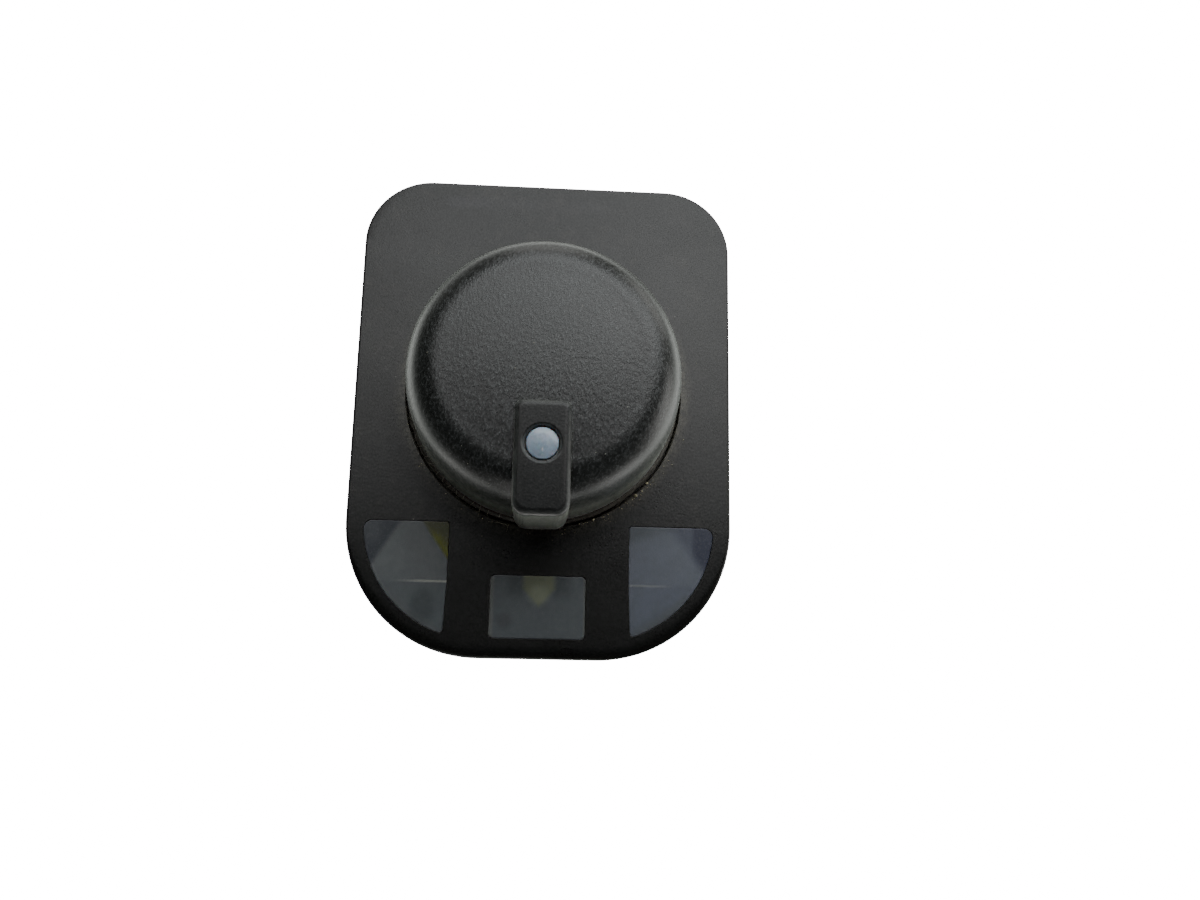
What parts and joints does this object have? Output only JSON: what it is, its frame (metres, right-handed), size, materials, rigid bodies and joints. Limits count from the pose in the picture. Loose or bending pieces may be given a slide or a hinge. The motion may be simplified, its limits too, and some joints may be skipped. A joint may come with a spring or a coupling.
{
  "type": "battery selector switch",
  "caption": "Small panel-mounted rotary battery selector: round pointer knob with a lit dot on a faceplate with lit windows, clip-in housing behind.",
  "frame": {"origin": "middle of the flat rear face, on the centre lines of the faceplate", "axes": "+Z out of the face towards the user, +Y to the top of the faceplate, +X to the right seen from the front"},
  "size_m": [0.038, 0.049, 0.0415],
  "materials": {
    "plate_plastic": "fine moulded texture, charcoal",
    "knob_plastic": "moulded grain, charcoal",
    "ring_plastic": "smooth satin, charcoal",
    "lens_smoke": "milky smoke lens, satin",
    "light_pipe_clear": "frosted clear",
    "housing_plastic": "as moulded, black",
    "cover_plastic": "as moulded, black",
    "connector_plastic": "as moulded, black",
    "light_box_white": "matt white",
    "gasket_rubber": "closed-cell foam rubber",
    "seal_rubber": "smooth nitrile",
    "spring_steel": "rolled strip",
    "spindle_steel": "turned",
    "screw_steel": "zinc plated",
    "bush_brass": "turned",
    "terminal_tin": "tin plated",
    "contact_copper": "rolled copper alloy",
    "detent_acetal": "natural acetal",
    "rotor_acetal": "natural acetal",
    "board_green": "solder mask",
    "led_body": "moulded white and clear",
    "resistor_body": "glazed"
  },
  "bodies": {
    "base": {"faceplate": "plate_plastic", "window_lens_left": "lens_smoke", "window_lens_center": "lens_smoke", "window_lens_right": "lens_smoke", "flange_gasket": "gasket_rubber", "housing": "housing_plastic", "panel_clip_left": "spring_steel", "panel_clip_right": "spring_steel", "rear_cover": "cover_plastic", "connector_shroud": "connector_plastic", "circuit_board": "board_green", "common_track": "contact_copper", "position_pad_left": "contact_copper", "position_pad_center": "contact_copper", "position_pad_right": "contact_copper", "led_left": "led_body", "led_center": "led_body", "led_right": "led_body", "led_pointer": "led_body", "resistor_left": "resistor_body", "resistor_center": "resistor_body", "resistor_right": "resistor_body", "light_box": "light_box_white", "pointer_light_guide": "light_pipe_clear", "shaft_bush": "bush_brass", "detent_leaf_spring": "spring_steel", "terminal_pin_1": "terminal_tin", "terminal_pin_2": "terminal_tin", "terminal_pin_3": "terminal_tin", "terminal_pin_4": "terminal_tin", "terminal_pin_5": "terminal_tin", "terminal_pin_6": "terminal_tin", "cover_screw_1": "screw_steel", "cover_screw_2": "screw_steel", "cover_screw_3": "screw_steel", "cover_screw_4": "screw_steel"},
    "knob": {"knob": "knob_plastic", "knob_base_ring": "ring_plastic", "pointer_light_pipe": "light_pipe_clear", "spindle": "spindle_steel", "knob_spring_insert": "spring_steel", "shaft_o_ring": "seal_rubber", "wave_washer": "spring_steel", "shaft_circlip": "spring_steel", "detent_wheel": "detent_acetal", "contact_rotor": "rotor_acetal", "contact_wiper_front": "contact_copper", "contact_wiper_rear": "contact_copper"}
  },
  "joints": [
    {"name": "knob_turn", "type": "hinge", "parent": "base", "child": "knob", "pos_m": [0, 0.00208, 0.03], "axis": [0, 0, 1], "range_deg": [-35, 35], "deforming": ["detent_leaf_spring"]}
  ]
}
